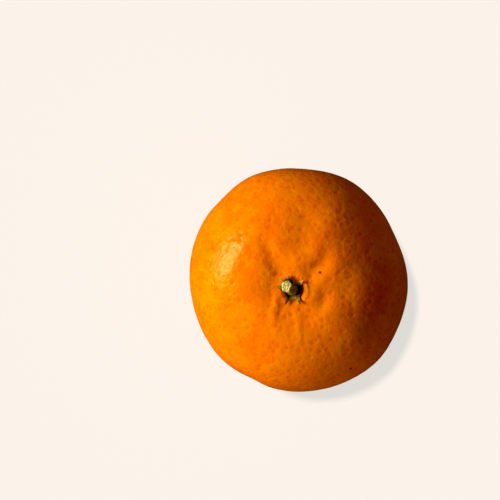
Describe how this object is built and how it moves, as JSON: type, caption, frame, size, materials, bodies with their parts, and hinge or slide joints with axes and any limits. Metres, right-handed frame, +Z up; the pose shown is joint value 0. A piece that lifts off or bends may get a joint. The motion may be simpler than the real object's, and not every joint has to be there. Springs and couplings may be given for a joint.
{
  "type": "orri mandarin",
  "caption": "Whole flattened easy-peel mandarin with a dimpled stem end, a dried star-shaped calyx and a cut stem stub.",
  "frame": {"origin": "on the resting plane, under the middle of the fruit, where the line of its core meets that plane", "axes": "+Z up the core, from the blossom end to the stem end; +X along the widest diameter"},
  "size_m": [0.0685, 0.065, 0.0569],
  "materials": {
    "peel": "bright orange citrus peel, waxy half gloss, pebbled, with darker oil glands just under the skin",
    "calyx": "dried sepals, olive to dark brown, matt, with pale curled edges",
    "stalk": "dry stalk, olive brown, with a pale straw fibrous break"
  },
  "bodies": {
    "root": {"fruit": "peel", "calyx": "calyx", "stem_stub": "stalk"}
  },
  "joints": []
}
